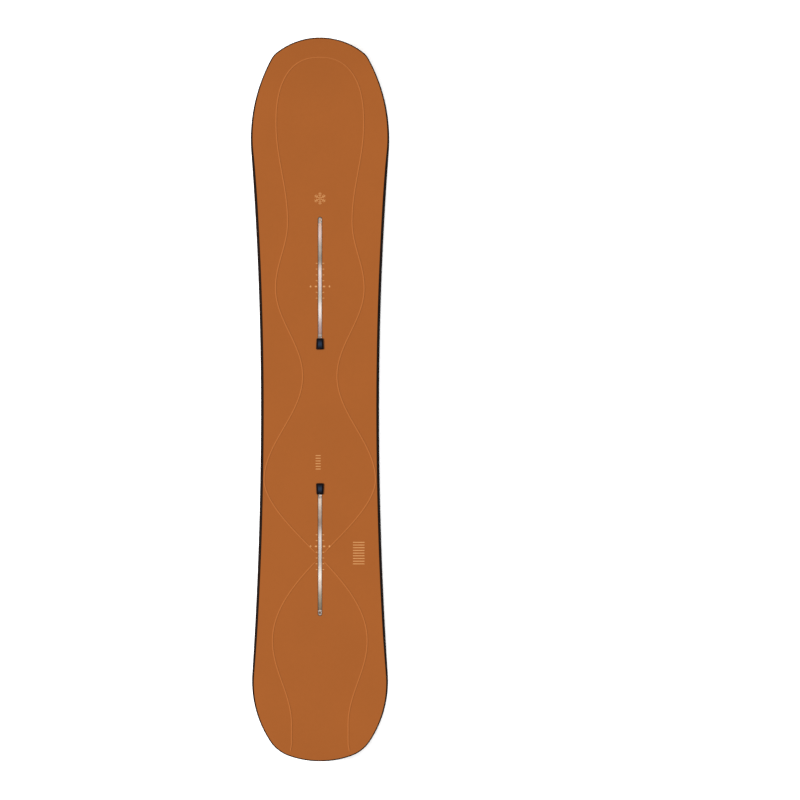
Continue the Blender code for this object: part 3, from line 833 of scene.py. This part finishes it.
baseInset = layerForm["edgeWidth"] + bond
layer("runningBase", "base",
      [(baseInset, aboveBase(0)), (baseInset, aboveBase(layerForm["base"]))], basePrint)


def makeEdge(side, word):
    # Square bead at the rim with broken corners, and the thin flange that anchors it.
    width, chamfer = layerForm["edgeWidth"], layerForm["edgeChamfer"]
    flangeEnd = width + layerForm["flangeWidth"]
    corners = [(chamfer, 0), (width - chamfer, 0), (width, chamfer), (width, flangeLow),
               (flangeEnd, flangeLow), (flangeEnd, edgeHeight), (chamfer, edgeHeight),
               (0, edgeHeight - chamfer), (0, chamfer)]
    profile = [(inset, aboveBase(level)) for inset, level in corners]
    edge = layer("steelEdge" + word, "steel_edge_" + word.lower(), profile, groundSteel,
                 side)
    edge.data.materials.append(darkSteel)
    for face in edge.data.polygons:
        if face.normal.z < -0.9:
            face.material_index = 1


def makeSidewall(side, word):
    width = layerForm["sidewallWidth"]
    profile = [(0, aboveBase(coreLow)), (width, aboveBase(coreLow)), (width, belowTop(coreHigh)),
               (slopedInset(coreHigh), belowTop(coreHigh))]
    layer("sidewall" + word, "sidewall_" + word.lower(), profile, sidewallBlack, side,
          tailWidest + bond / 2, noseWidest - bond / 2)


for side in sides:
    makeEdge(*side)
step = layerForm["edgeWidth"] + layerForm["flangeWidth"] + bond
lowerLaminate = layer("lowerGlass", "lower_laminate", [
    (step, aboveBase(flangeLow)), (step, aboveBase(laminateRimLow)),
    (0, aboveBase(laminateRimLow)), (0, aboveBase(laminateHigh))], glassCloth)
for side in sides:
    makeSidewall(*side)

spacerProfile = [(0, aboveBase(coreLow)), (slopedInset(coreHigh), belowTop(coreHigh))]
layer("noseSpacer", "tip_spacer_nose", spacerProfile, spacerBlack,
      low=noseWidest + bond / 2)
layer("tailSpacer", "tip_spacer_tail", spacerProfile, spacerBlack,
      high=tailWidest - bond / 2)

upperLaminate = layer("upperGlass", "upper_laminate", [
    (slopedInset(upperLaminateLow), belowTop(upperLaminateLow)),
    (slopedInset(upperLaminateHigh), belowTop(upperLaminateHigh)),
    (landInset(upperLaminateHigh), belowTop(upperLaminateHigh))], glassCloth)


def topsheetProfile():
    # Rounded upper rim, then the narrow land that is ground dark.
    rounding = layerForm["rimRounding"]
    profile = [(slopedInset(depth), belowTop(depth)) for depth in (layerForm["topsheet"], rounding)]
    for share in (0.35, 0.7, 1.0):
        angle = share * math.pi / 2
        profile.append((slopedInset(rounding, rounding * (1 - math.cos(angle))),
                        belowTop(rounding * (1 - math.sin(angle)))))
    return profile + [(landInset(rounding, rounding), belowTop(0))]


def darkenRim(piece):
    # The ground rim of each layer is nearly as dark as the sidewall. Only faces that cross the
    # middle of the board keep the layer's own look.
    piece.data.materials.append(cutEdgeBlack)
    for face in piece.data.polygons:
        across = [piece.data.vertices[index].co.x for index in face.vertices]
        if min(across) > 0 or max(across) < 0 or abs(face.normal.z) < 0.5:
            face.material_index = len(piece.data.materials) - 1


topsheet = layer("topsheetBody", "topsheet", topsheetProfile(), topsheetSatin)
for piece in (lowerLaminate, upperLaminate, topsheet):
    darkenRim(piece)
for name, node in nodes.items():
    if name.startswith("core_"):
        for slot in node.material_slots:
            slot.material = coreWood
print("sheets, edges and sidewalls built")


# Channels: distances run along a channel, from the inner end of its plug

channelForm = {
    "frontStart": 0.1073, "rearStart": 0.1806, "length": 0.2861, "neckWall": 0.0010,
    "slotWidth": 0.0074, "cavityWidth": 0.0122, "entryLength": 0.0156, "entryStart": 0.0040,
    "sideStep": 0.0002, "clearance": 0.0002, "overshoot": 0.002, "endSteps": 28,
}
channels = (("front", channelForm["frontStart"], 1), ("rear", channelForm["rearStart"], -1))
channelTop = boardForm["camber"] + boardForm["thickness"]


def keyhole(grow):
    # Plan of a slot with its entry, grown all round.
    form = channelForm
    entryHalf = form["cavityWidth"] / 2 - form["sideStep"] + grow
    near, far = form["entryStart"] - grow, form["entryStart"] + form["entryLength"] + grow
    slotHalf = form["slotWidth"] / 2 + grow
    centre = Vector((0, form["length"] - form["clearance"] - form["neckWall"] - form["slotWidth"] / 2))
    rounded = arc(centre, slotHalf, 0, math.pi, form["endSteps"])
    farEnd = [(point.x, point.y) for point, outward in rounded]
    return ([(slotHalf, far)] + farEnd + [(-slotHalf, far), (-entryHalf, far), (-entryHalf, near),
            (entryHalf, near), (entryHalf, far)])


def onBoard(plan, start, towards):
    return [(x, towards * (start + along)) for x, along in plan]


def cutOpenings(piece):
    for word, start, towards in channels:
        bm = bmesh.new()
        plan = onBoard(keyhole(channelForm["neckWall"] + channelForm["clearance"]), start, towards)
        uprightBlock(bm, plan, channelTop - coreHigh, channelTop + channelForm["overshoot"])
        shapeWith(piece, makePiece("openingTool", bm, piece.data.materials[0], None), "DIFFERENCE")
    shade(piece.data)


cutOpenings(topsheet)
cutOpenings(upperLaminate)

railLook = {
    "metallic": 0.9, "lines": (1800.0, 12.0, 0.000005), "rough": (0.38, 0.28),
    "streaks": [(0.3, (0.86, 0.86, 0.86)), (0.7, (1.10, 1.10, 1.10))],
    # from what height up, over what run, and tone: above the floor, and at the lips
    "levels": [(0.0095, 0.0006, (0.20, 0.15, 0.12)), (0.0146, 0.0003, (0.050, 0.040, 0.034))],
    # painted reflection and painted shade on the floor along each channel, from its tail-side end to
    # its nose-side end
    "frontPaintedReflections": [
        (0.03, (0.36, 0.24, 0.196)), (0.09, (0.48, 0.327, 0.305)), (0.25, (1.0, 0.85, 0.78)),
        (0.36, (0.645, 0.55, 0.475)), (0.46, (0.795, 0.613, 0.56)), (0.55, (0.90, 0.71, 0.645)),
        (0.66, (0.345, 0.277, 0.23)), (0.75, (0.494, 0.397, 0.33)), (0.86, (0.76, 0.556, 0.496)),
        (0.98, (0.70, 0.45, 0.338))],
    "rearPaintedReflections": [
        (0.02, (0.196, 0.109, 0.06)), (0.085, (0.263, 0.207, 0.147)), (0.15, (0.389, 0.312, 0.235)),
        (0.26, (0.783, 0.622, 0.516)), (0.32, (1.0, 0.86, 0.75)), (0.45, (0.634, 0.536, 0.475)),
        (0.63, (0.78, 0.661, 0.606)), (0.76, (0.37, 0.26, 0.205)), (0.82, (0.50, 0.37, 0.30)),
        (0.93, (0.79, 0.625, 0.51))],
}


def railMetal(word, start, towards):
    # Drawn metal: the lips up at the topsheet are dark, and the floor carries a painted reflection
    # whose tone rises and falls along the channel.
    look = railLook
    material, place = newMaterial("railMetal" + word.title(), look)
    slotStart = channelForm["entryStart"] + channelForm["entryLength"]
    ends = sorted((towards * (start + slotStart), towards * (start + channelForm["length"])))
    mask, normal = useGroup(drawnLines, place, *look["lines"])
    # the floor's tone is painted reflection and painted shade along the channel
    floor = ramp(mapped(part(place, "Y"), *ends, 0.0, 1.0), look[word + "PaintedReflections"], "EASE")
    colour = blend(1.0, floor, ramp(mask, look["streaks"]), "MULTIPLY")
    for low, run, tone in look["levels"]:
        colour = blend(smoothStep(part(place, "Z"), low, low + run), colour, tone)
    return finishMaterial(material, colour, roughened(mask, *look["rough"]), normal)


def dressRail(word, start, towards):
    # A copy of the node's mesh with its loose triangles joined and its flat faces made whole.
    bm = bmesh.new()
    bm.from_mesh(nodes["channel_rail_" + word].data)
    bmesh.ops.remove_doubles(bm, verts=bm.verts, dist=0.00001)
    bmesh.ops.dissolve_limit(bm, angle_limit=math.radians(0.5), verts=bm.verts, edges=bm.edges)
    rail = makePiece("channelRail" + word.title(), bm, railMetal(word, start, towards), closed=False)
    standFor("channel_rail_" + word)


for channel in channels:
    dressRail(*channel)
print("channels cut and rails dressed")


# Plug over the entry of each channel: a cap with a raised pad, on a stem

plugForm = {
    "length": 0.0244, "innerWidth": 0.0170, "outerWidth": 0.0150, "thickness": 0.0012, "corner": 0.0028,
    "rounding": 0.0004, "padMargin": 0.0030, "padCorner": 0.0014, "padHeight": 0.0003,
    "padRounding": 0.0002, "inlayMargin": 0.0009, "stemHeight": 0.0042, "stemClearance": 0.0005,
}

plugLook = {
    "black": ((0.0060, 0.0034, 0.0042), (0.0036, 0.0024, 0.0028)),
    # the inlay's slate-blue tones are a painted bluish sheen
    "slate": ((0.0150, 0.0245, 0.0445), (0.0128, 0.0212, 0.0390)),
    "specular": 0.02, "mottle": 120.0, "grain": (1800.0, 0.000012, 0.42, 0.58),
    "padEnds": (0.0062, 0.0075, 0.0125), "paintedSheenReach": (0.0080, 0.0005),
}


def plugMiddle(start, towards):
    return towards * (start + plugForm["length"] / 2)


def paintedSheenMiddle(place, colour):
    # The inlay's painted sheen is palest at the middle of its plug.
    offsets = [magnitude(minus(part(place, "Y"), plugMiddle(start, towards)))
               for word, start, towards in channels]
    pale = smoothStep(calc("MINIMUM", *offsets), *plugLook["paintedSheenReach"])
    return blend(pale, plugLook["padEnds"], colour)


plugBlack = grainedMaterial("plugBlack", plugLook, "black")
padPaintedSheen = grainedMaterial("padPaintedSheen", plugLook, "slate", paintedSheenMiddle)


def taperedPlate(bm, margin, corner, rounding, low, high, towards):
    # A plate of the plug's plan, drawn in by the margin, with round corners and a round upper rim.
    near, far, length = (plugForm[key] / 2 - margin for key in ("innerWidth", "outerWidth", "length"))
    old = set(bm.faces)
    verts = uprightBlock(bm, onBoard(fourSided(near, far, -length, length), 0, towards), low, high)
    bevel(bm, uprightEdges(bm, verts), corner, segments=8)
    bevel(bm, list(highest(set(bm.faces) - old).edges), rounding, segments=4)


def makePlug(word, start, towards):
    form = plugForm
    bm = bmesh.new()
    taperedPlate(bm, 0, form["corner"], form["rounding"], 0, form["thickness"], towards)
    capFaces = set(bm.faces)
    taperedPlate(bm, form["padMargin"], form["padCorner"], form["padRounding"], form["thickness"] / 2,
                 form["thickness"] + form["padHeight"], towards)
    inlay = highest(set(bm.faces) - capFaces)
    bmesh.ops.inset_individual(bm, faces=[inlay], thickness=form["inlayMargin"])
    inlay.material_index = 1
    half = channelForm["cavityWidth"] / 2 - channelForm["sideStep"] - form["stemClearance"]
    near = channelForm["entryStart"] + form["stemClearance"] - form["length"] / 2
    far = near + channelForm["entryLength"] - 2 * form["stemClearance"]
    uprightBlock(bm, onBoard(fourSided(half, half, near, far), 0, towards), -form["stemHeight"],
                 form["thickness"] / 2)
    move(bm, (0, plugMiddle(start, towards), channelTop + bond))
    plug = makePiece("channelPlug" + word.title(), bm, plugBlack, word + "_plug", sharp=40)
    plug.data.materials.append(padPaintedSheen)
    standFor("channel_plug_" + word)


for channel in channels:
    makePlug(*channel)
print("plugs built")


# Sliding inserts: a flange under the rail's lips, a boss in the slot and a tapped hole

insertForm = {
    "length": 0.0120, "width": 0.0114, "flangeHeight": 0.0027, "corner": 0.0015, "bossRadius": 0.0035,
    "bossHeight": 0.0022, "holeRadius": 0.0029, "break": 0.00018, "overlap": 0.00001,
    # ridge of the thread: root in the wall, and half height at the root as a share of the pitch
    "threadRadius": 0.0025, "pitch": 0.0010, "rootDepth": 0.00005, "rootHalf": 0.42,
    "crestHalf": 0.00006, "turnSteps": 40,
    "innerAlong": 0.0266, "outerAlong": 0.2791, "underside": 0.0095,
}
zincLook = {
    "tones": ((0.45, 0.375, 0.335), (0.56, 0.465, 0.415)), "metallic": 0.9, "mottle": 150.0,
    "grain": (2200.0, 0.000010, 0.32, 0.5),
}
insertZinc = grainedMaterial("zincPlate", zincLook)


def roundTool(low, high, lowRadius, highRadius):
    bm = bmesh.new()
    bmesh.ops.create_cone(bm, cap_ends=True, segments=64, radius1=lowRadius, radius2=highRadius,
                          depth=high - low)
    move(bm, (0, 0, (low + high) / 2))
    return makePiece("roundTool", bm, insertZinc, None)


def insertBlock(flange, boss):
    # Flange with round corners, boss with a broken rim, and the hole through both.
    form = insertForm
    bm = bmesh.new()
    bmesh.ops.create_cube(bm, size=1)
    bmesh.ops.scale(bm, verts=bm.verts, vec=(form["width"], form["length"], flange))
    move(bm, (0, 0, flange / 2))
    bevel(bm, uprightEdges(bm, bm.verts), form["corner"], segments=6)
    level = [face for face in bm.faces if abs(face.normal.z) > 0.9]
    rimEdges = dict.fromkeys(edge for face in level for edge in face.edges)
    bevel(bm, list(rimEdges), form["break"], segments=2)
    block = makePiece("insertBlock", bm, insertZinc, None)
    radius, rim, hole = form["bossRadius"], form["break"], form["holeRadius"]
    for operation, *sizes in (("UNION", flange / 2, boss - rim, radius, radius),
                              ("UNION", boss - rim - form["overlap"], boss, radius, radius - rim),
                              ("DIFFERENCE", -flange, boss + flange, hole, hole)):
        shapeWith(block, roundTool(*sizes), operation)
    return block


def windThread(bm, boss):
    # Closed ridge, wound up the hole.
    form = insertForm
    outer, inner = form["holeRadius"] + form["rootDepth"], form["threadRadius"]
    half, crest = form["pitch"] * form["rootHalf"], form["crestHalf"]
    old = set(bm.verts)
    profile = ((outer, half), (inner, crest), (inner, -crest), (outer, -half))
    corners = [bm.verts.new((x, 0, z)) for x, z in profile]
    ridge = bm.faces.new(corners)
    turns = (boss - 2 * half) / form["pitch"]
    steps = int(turns * form["turnSteps"])
    bmesh.ops.spin(bm, geom=[ridge] + list(ridge.edges) + corners, cent=(0, 0, 0), axis=(0, 0, 1),
                   angle=turns * 2 * math.pi, steps=steps, dvec=(0, 0, turns * form["pitch"] / steps),
                   use_merge=False, use_duplicate=False)
    move(bm, (0, 0, half), [vert for vert in bm.verts if vert not in old])


def makeInsert(word, seat, y):
    form = insertForm
    boss = form["flangeHeight"] + form["bossHeight"]
    block = insertBlock(form["flangeHeight"], boss)
    bm = bmesh.new()
    bm.from_mesh(block.data)
    bpy.data.objects.remove(block)
    windThread(bm, boss)
    move(bm, (0, y, form["underside"]))
    name = "slidingInsert" + word.title() + seat.title()
    insert = makePiece(name, bm, insertZinc, f"{word}_{seat}_insert")
    standFor(f"insert_{word}_{seat}")


for word, start, towards in channels:
    for seat in ("inner", "outer"):
        makeInsert(word, seat, towards * (start + insertForm[seat + "Along"]))
print("inserts built")


# Raised line on the topsheet: a mirrored pair that starts as an arch at the nose, swings in and
# out beside the front channel, and changes sides over the rear one

reliefForm = {
    "width": 0.0028, "height": 0.00058, "sink": 0.00008, "lift": 0.00001, "step": 0.004, "fade": 0.003,
    "fadeWidth": 0.35, "archTip": 0.737, "archPower": 2.4, "archSteps": 48, "channelGap": 0.0066,
    "slopeReach": 0.0005, "sectionSteps": 8,
    # along the board, half distance between the pair, and how the swing to it leans
    "turns": [(0.595, 0.0944, 1.0), (0.3825, 0.0695, 1.0), (0.240, 0.0955, 1.0), (0.050, 0.0370, 1.0),
              (-0.175, 0.1200, 1.0), (-0.520, -0.1020, 0.87), (-0.700, -0.0610, 1.0),
              (-0.741, -0.0610, 1.0), (-0.759, -0.0635, 1.0)],
}


def reliefPath():
    form = reliefForm
    turns, power = form["turns"], 2 / form["archPower"]
    archY, archHalf, skip = turns[0]
    path = []
    for i in range(form["archSteps"] + 1):
        angle = math.pi / 2 * i / form["archSteps"]
        path.append(Vector((archHalf * math.sin(angle) ** power,
                            archY + (form["archTip"] - archY) * math.cos(angle) ** power)))
    for (fromY, fromX, skip), (toY, toX, lean) in zip(turns, turns[1:]):
        for y in spaced(fromY, toY, form["step"])[1:]:
            share = ((fromY - y) / (fromY - toY)) ** lean
            path.append(Vector((fromX + (toX - fromX) * ease(share), y)))
    return path


def beadSection(spot, tangent, scale):
    # Half-round section across the line, square to the topsheet there.
    form = reliefForm
    reach, steps = form["slopeReach"], form["sectionSteps"]
    slope = (topHeight(spot.y + reach) - topHeight(spot.y - reach)) / (2 * reach)
    upward = Vector((0, -slope, 1)).normalized()
    ahead = Vector((tangent.x, tangent.y, tangent.y * slope)).normalized()
    side = ahead.cross(upward)
    ground = Vector((spot.x, spot.y, topHeight(spot.y)))
    half = form["width"] / 2 * (form["fadeWidth"] + (1 - form["fadeWidth"]) * scale)
    points = [ground - side * half - upward * form["sink"]]
    for i in range(steps + 1):
        angle = math.pi * i / steps
        lift = form["height"] * math.sin(angle) * scale
        points.append(ground - side * half * math.cos(angle) + upward * (lift + form["lift"]))
    points.append(ground + side * half - upward * form["sink"])
    return points


def addBead(bm, path):
    # Half-round bead along a path that fades out at both ends.
    sections = []
    for i, spot in enumerate(path):
        tangent = path[min(i + 1, len(path) - 1)] - path[max(i - 1, 0)]
        scale = min((spot - end).length / reliefForm["fade"] for end in (path[0], path[-1]))
        sections.append(beadSection(spot, tangent, ease(scale)))
    carry(bm, sections)


def makeRelief():
    right = reliefPath()
    gap = reliefForm["channelGap"]
    upper = [spot for spot in right if not (spot.y < 0 and spot.x < gap)]
    lower = [spot for spot in right if spot.y < 0 and spot.x < -gap]
    flip = Vector((-1, 1))
    bm = bmesh.new()
    addBead(bm, [spot * flip for spot in reversed(upper[1:])] + upper)
    addBead(bm, lower)
    addBead(bm, [spot * flip for spot in lower])
    makePiece("topsheetRelief", bm, reliefPaintedHighlight, sharp=60)


makeRelief()
print("raised line built")


# Printed marks on the topsheet, each a thin film of ink that lies on it

inkForm = {
    "height": 0.00004, "sink": 0.00003, "corner": 0.35, "tickPitch": 0.0125, "outward": 4,
    "inward": 2, "rows": (("Front", 0.2433, 1), ("Rear", -0.3167, -1)), "dotAcross": 0.0204,
    "dotSize": (0.0034, 0.0042), "dotCorner": 0.49, "barAcross": 0.0088,
    "barSize": (0.0050, 0.0032), "tickAcross": 0.0071, "tickSize": (0.0040, 0.0014),
    "crystalCentre": (0.0, 0.4330), "armReach": (0.0013, 0.0131), "armWidth": 0.0013,
    "twigRoots": (0.0061, 0.0096), "twigOut": 0.0025, "twigSize": (0.00104, 0.0026),
    "crystalCorner": 0.3,
    # across, along, size of a stripe, pitch and how many
    "stripes": [(-0.0040, -0.1210, (0.0110, 0.0017), 0.0058, 6),
                (0.0835, -0.3080, (0.0250, 0.0018), 0.0058, 9)],
}
inkLook = {
    "tones": ((0.385, 0.180, 0.067), (0.425, 0.205, 0.080)), "specular": 0.008, "mottle": 160.0,
    "grain": (900.0, 0.000008, 0.50, 0.62),
}
ink = grainedMaterial("printedInk", inkLook)


def inkBar(bm, spot, size, turn=0.0, corner=inkForm["corner"]):
    # A flat bar with round corners. Its size is across and along the board before it is turned.
    old = set(bm.faces)
    half, reach = size[0] / 2, size[1] / 2
    verts = uprightBlock(bm, fourSided(half, half, -reach, reach), -inkForm["sink"], inkForm["height"])
    bevel(bm, uprightEdges(bm, verts), min(size) * corner, segments=4)
    c, s = math.cos(turn), math.sin(turn)
    for vert in {vert for face in bm.faces if face not in old for vert in face.verts}:
        x, y, z = vert.co
        vert.co = (spot[0] + x * c - y * s, spot[1] + x * s + y * c, z)


def printMarks(name, bm):
    piece = makePiece(name, bm, ink)
    for vert in piece.data.vertices:
        vert.co.z += topHeight(vert.co.y)


def makeStanceMarks(word, row, towards):
    # Reference row with a scale of ticks on both sides of it.
    form = inkForm
    bm = bmesh.new()
    for side in (1, -1):
        inkBar(bm, (side * form["dotAcross"], row), form["dotSize"], corner=form["dotCorner"])
        inkBar(bm, (side * form["barAcross"], row), form["barSize"])
        for number in range(-form["inward"], form["outward"] + 1):
            if number:
                spot = (side * form["tickAcross"], row + towards * number * form["tickPitch"])
                inkBar(bm, spot, form["tickSize"])
    printMarks("stanceMarks" + word, bm)


def makeCrystal():
    # Snow crystal of separate bars that don't overlap.
    form = inkForm
    centre = Vector(form["crystalCentre"])
    near, far = form["armReach"]
    bm = bmesh.new()

    def heading(turn):
        return Vector((-math.sin(turn), math.cos(turn)))

    for arm in range(6):
        turn = arm * math.pi / 3
        spot = centre + heading(turn) * (near + far) / 2
        inkBar(bm, spot, (form["armWidth"], far - near), turn, form["crystalCorner"])
        for root in form["twigRoots"]:
            for side in (1, -1):
                twig = turn + side * math.pi / 3
                spot = centre + heading(turn) * root + heading(twig) * form["twigOut"]
                inkBar(bm, spot, form["twigSize"], twig, form["crystalCorner"])
    printMarks("topsheetCrystal", bm)


def makeStripes():
    bm = bmesh.new()
    for x, y, size, pitch, count in inkForm["stripes"]:
        for number in range(count):
            inkBar(bm, (x, y - number * pitch), size)
    printMarks("topsheetStripes", bm)


for row in inkForm["rows"]:
    makeStanceMarks(*row)
makeCrystal()
makeStripes()
print("printed marks built")


# Floor

floorLook = {
    "tones": ((0.93, 0.93, 0.93), (0.96, 0.96, 0.96)), "specular": 0.1, "glow": 0.28, "mottle": 2.0,
    "grain": (300.0, 0.00001, 0.6, 0.8), "size": 8.0, "below": 0.0001,
}


def makeFloor():
    material = grainedMaterial("paleFloor", floorLook)
    # seen from above only, and light passes through it to the board's underside
    tree = material.node_tree
    fromAbove = minus(1.0, addNode("NewGeometry", {}, tree).outputs["Backfacing"])
    seen = times(addNode("LightPath", {}, tree).outputs["Is Camera Ray"], fromAbove)
    clear = addNode("BsdfTransparent", {}, tree).outputs[0]
    shown = addNode("MixShader", {0: seen, 1: clear, 2: tree.nodes["Principled BSDF"].outputs[0]})
    tree.links.new(shown.outputs[0], tree.nodes["Material Output"].inputs["Surface"])
    bm = bmesh.new()
    bmesh.ops.create_grid(bm, x_segments=2, y_segments=2, size=floorLook["size"] / 2)
    move(bm, (0, 0, -floorLook["below"]))
    makePiece("paleFloor", bm, material, None, closed=False)


makeFloor()
